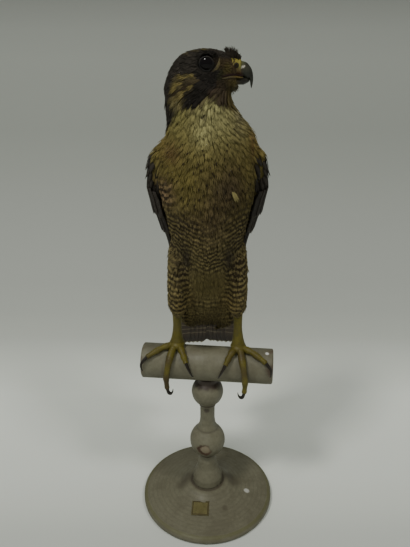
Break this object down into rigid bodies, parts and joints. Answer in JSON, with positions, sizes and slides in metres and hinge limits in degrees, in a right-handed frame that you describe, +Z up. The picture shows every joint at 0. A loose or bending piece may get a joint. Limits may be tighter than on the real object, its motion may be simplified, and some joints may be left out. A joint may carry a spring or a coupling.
{
  "type": "mounted peregrine falcon",
  "caption": "Life-size mounted peregrine falcon standing on the bar of a turned wooden T-perch with a disc base, wings folded, head turned to its left.",
  "frame": {"origin": "middle of the flat underside of the disc base", "axes": "+Z up along the stem, the bird faces -Y, its own left is +X, and its head is turned to +X"},
  "size_m": [0.16, 0.1841, 0.5298],
  "materials": {
    "stand_paint": "old off-white paint on turned wood, satin, grimy and chipped",
    "label_paper": "aged yellow paper, left blank",
    "feather_head": "blackish brown feathers with faint pale streaks",
    "feather_pale": "cream and buff feathers with dark spots and bars",
    "feather_barred": "pale feathers with close dark brown bars",
    "feather_slate": "blackish slate wing feathers with faint paler edges",
    "feather_tail": "grey-brown tail feathers with narrow pale bars",
    "bill_horn": "bluish black horn, paler at its base",
    "claw_horn": "black horn, satin",
    "cere_skin": "dull yellow wax-like skin",
    "leg_skin": "dull olive-yellow scaled skin, browner at the toe ends",
    "eye_glass": "black glass eye, polished"
  },
  "bodies": {
    "root": {"stand_base": "stand_paint", "stand_stem": "stand_paint", "stand_bar": "stand_paint", "stand_label": "label_paper", "head": "feather_head", "neck": "feather_pale", "torso": "feather_pale", "eye_left": "eye_glass", "thigh_left": "feather_barred", "shank_left": "leg_skin", "wing_left": "feather_slate", "toe_left_middle": "leg_skin", "claw_left_middle": "claw_horn", "toe_left_outer": "leg_skin", "claw_left_outer": "claw_horn", "toe_left_inner": "leg_skin", "claw_left_inner": "claw_horn", "toe_left_hallux": "leg_skin", "claw_left_hallux": "claw_horn", "eye_right": "eye_glass", "thigh_right": "feather_barred", "shank_right": "leg_skin", "wing_right": "feather_slate", "toe_right_middle": "leg_skin", "claw_right_middle": "claw_horn", "toe_right_outer": "leg_skin", "claw_right_outer": "claw_horn", "toe_right_inner": "leg_skin", "claw_right_inner": "claw_horn", "toe_right_hallux": "leg_skin", "claw_right_hallux": "claw_horn", "tail": "feather_tail", "cere": "cere_skin", "bill_upper": "bill_horn", "bill_lower": "bill_horn"}
  },
  "joints": []
}
